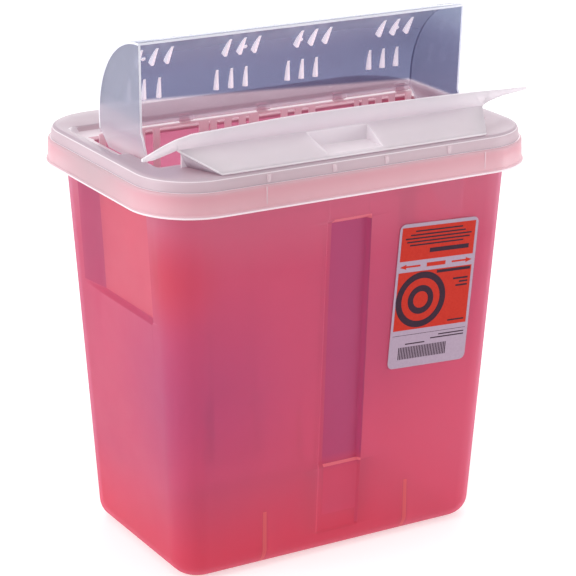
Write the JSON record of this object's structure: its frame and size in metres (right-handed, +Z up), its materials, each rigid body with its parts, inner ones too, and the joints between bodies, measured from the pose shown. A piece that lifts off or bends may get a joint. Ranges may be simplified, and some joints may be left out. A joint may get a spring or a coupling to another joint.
{
  "type": "sharps container",
  "caption": "Free-standing drafted tub with a pressed-on lid, a front visor, a drop chute and a clear quarter-round flap that swings down to cover the drop opening.",
  "frame": {"origin": "centre of the tub's base, on the surface it stands on", "axes": "+Z up, X along the long side, -Y the front with the label, +Y the rear with the flap's hinge"},
  "size_m": [0.267, 0.184, 0.329],
  "materials": {
    "red_plastic": "translucent red polypropylene, satin",
    "natural_plastic": "translucent natural polypropylene, satin",
    "clear_plastic": "clear plastic with a faint blue-violet cast, glossy",
    "label": "printed paper label, semi-matt"
  },
  "bodies": {
    "base": {"container_body": "red_plastic", "lid_base": "natural_plastic", "front_visor": "natural_plastic", "drop_chute": "natural_plastic", "label_sheet": "label"},
    "flap": {"flap": "clear_plastic"}
  },
  "joints": [
    {"name": "flap_hinge", "type": "hinge", "parent": "base", "child": "flap", "pos_m": [0, 0.0302, 0.2646], "axis": [1, 0, 0], "range_deg": [0, 48]}
  ]
}
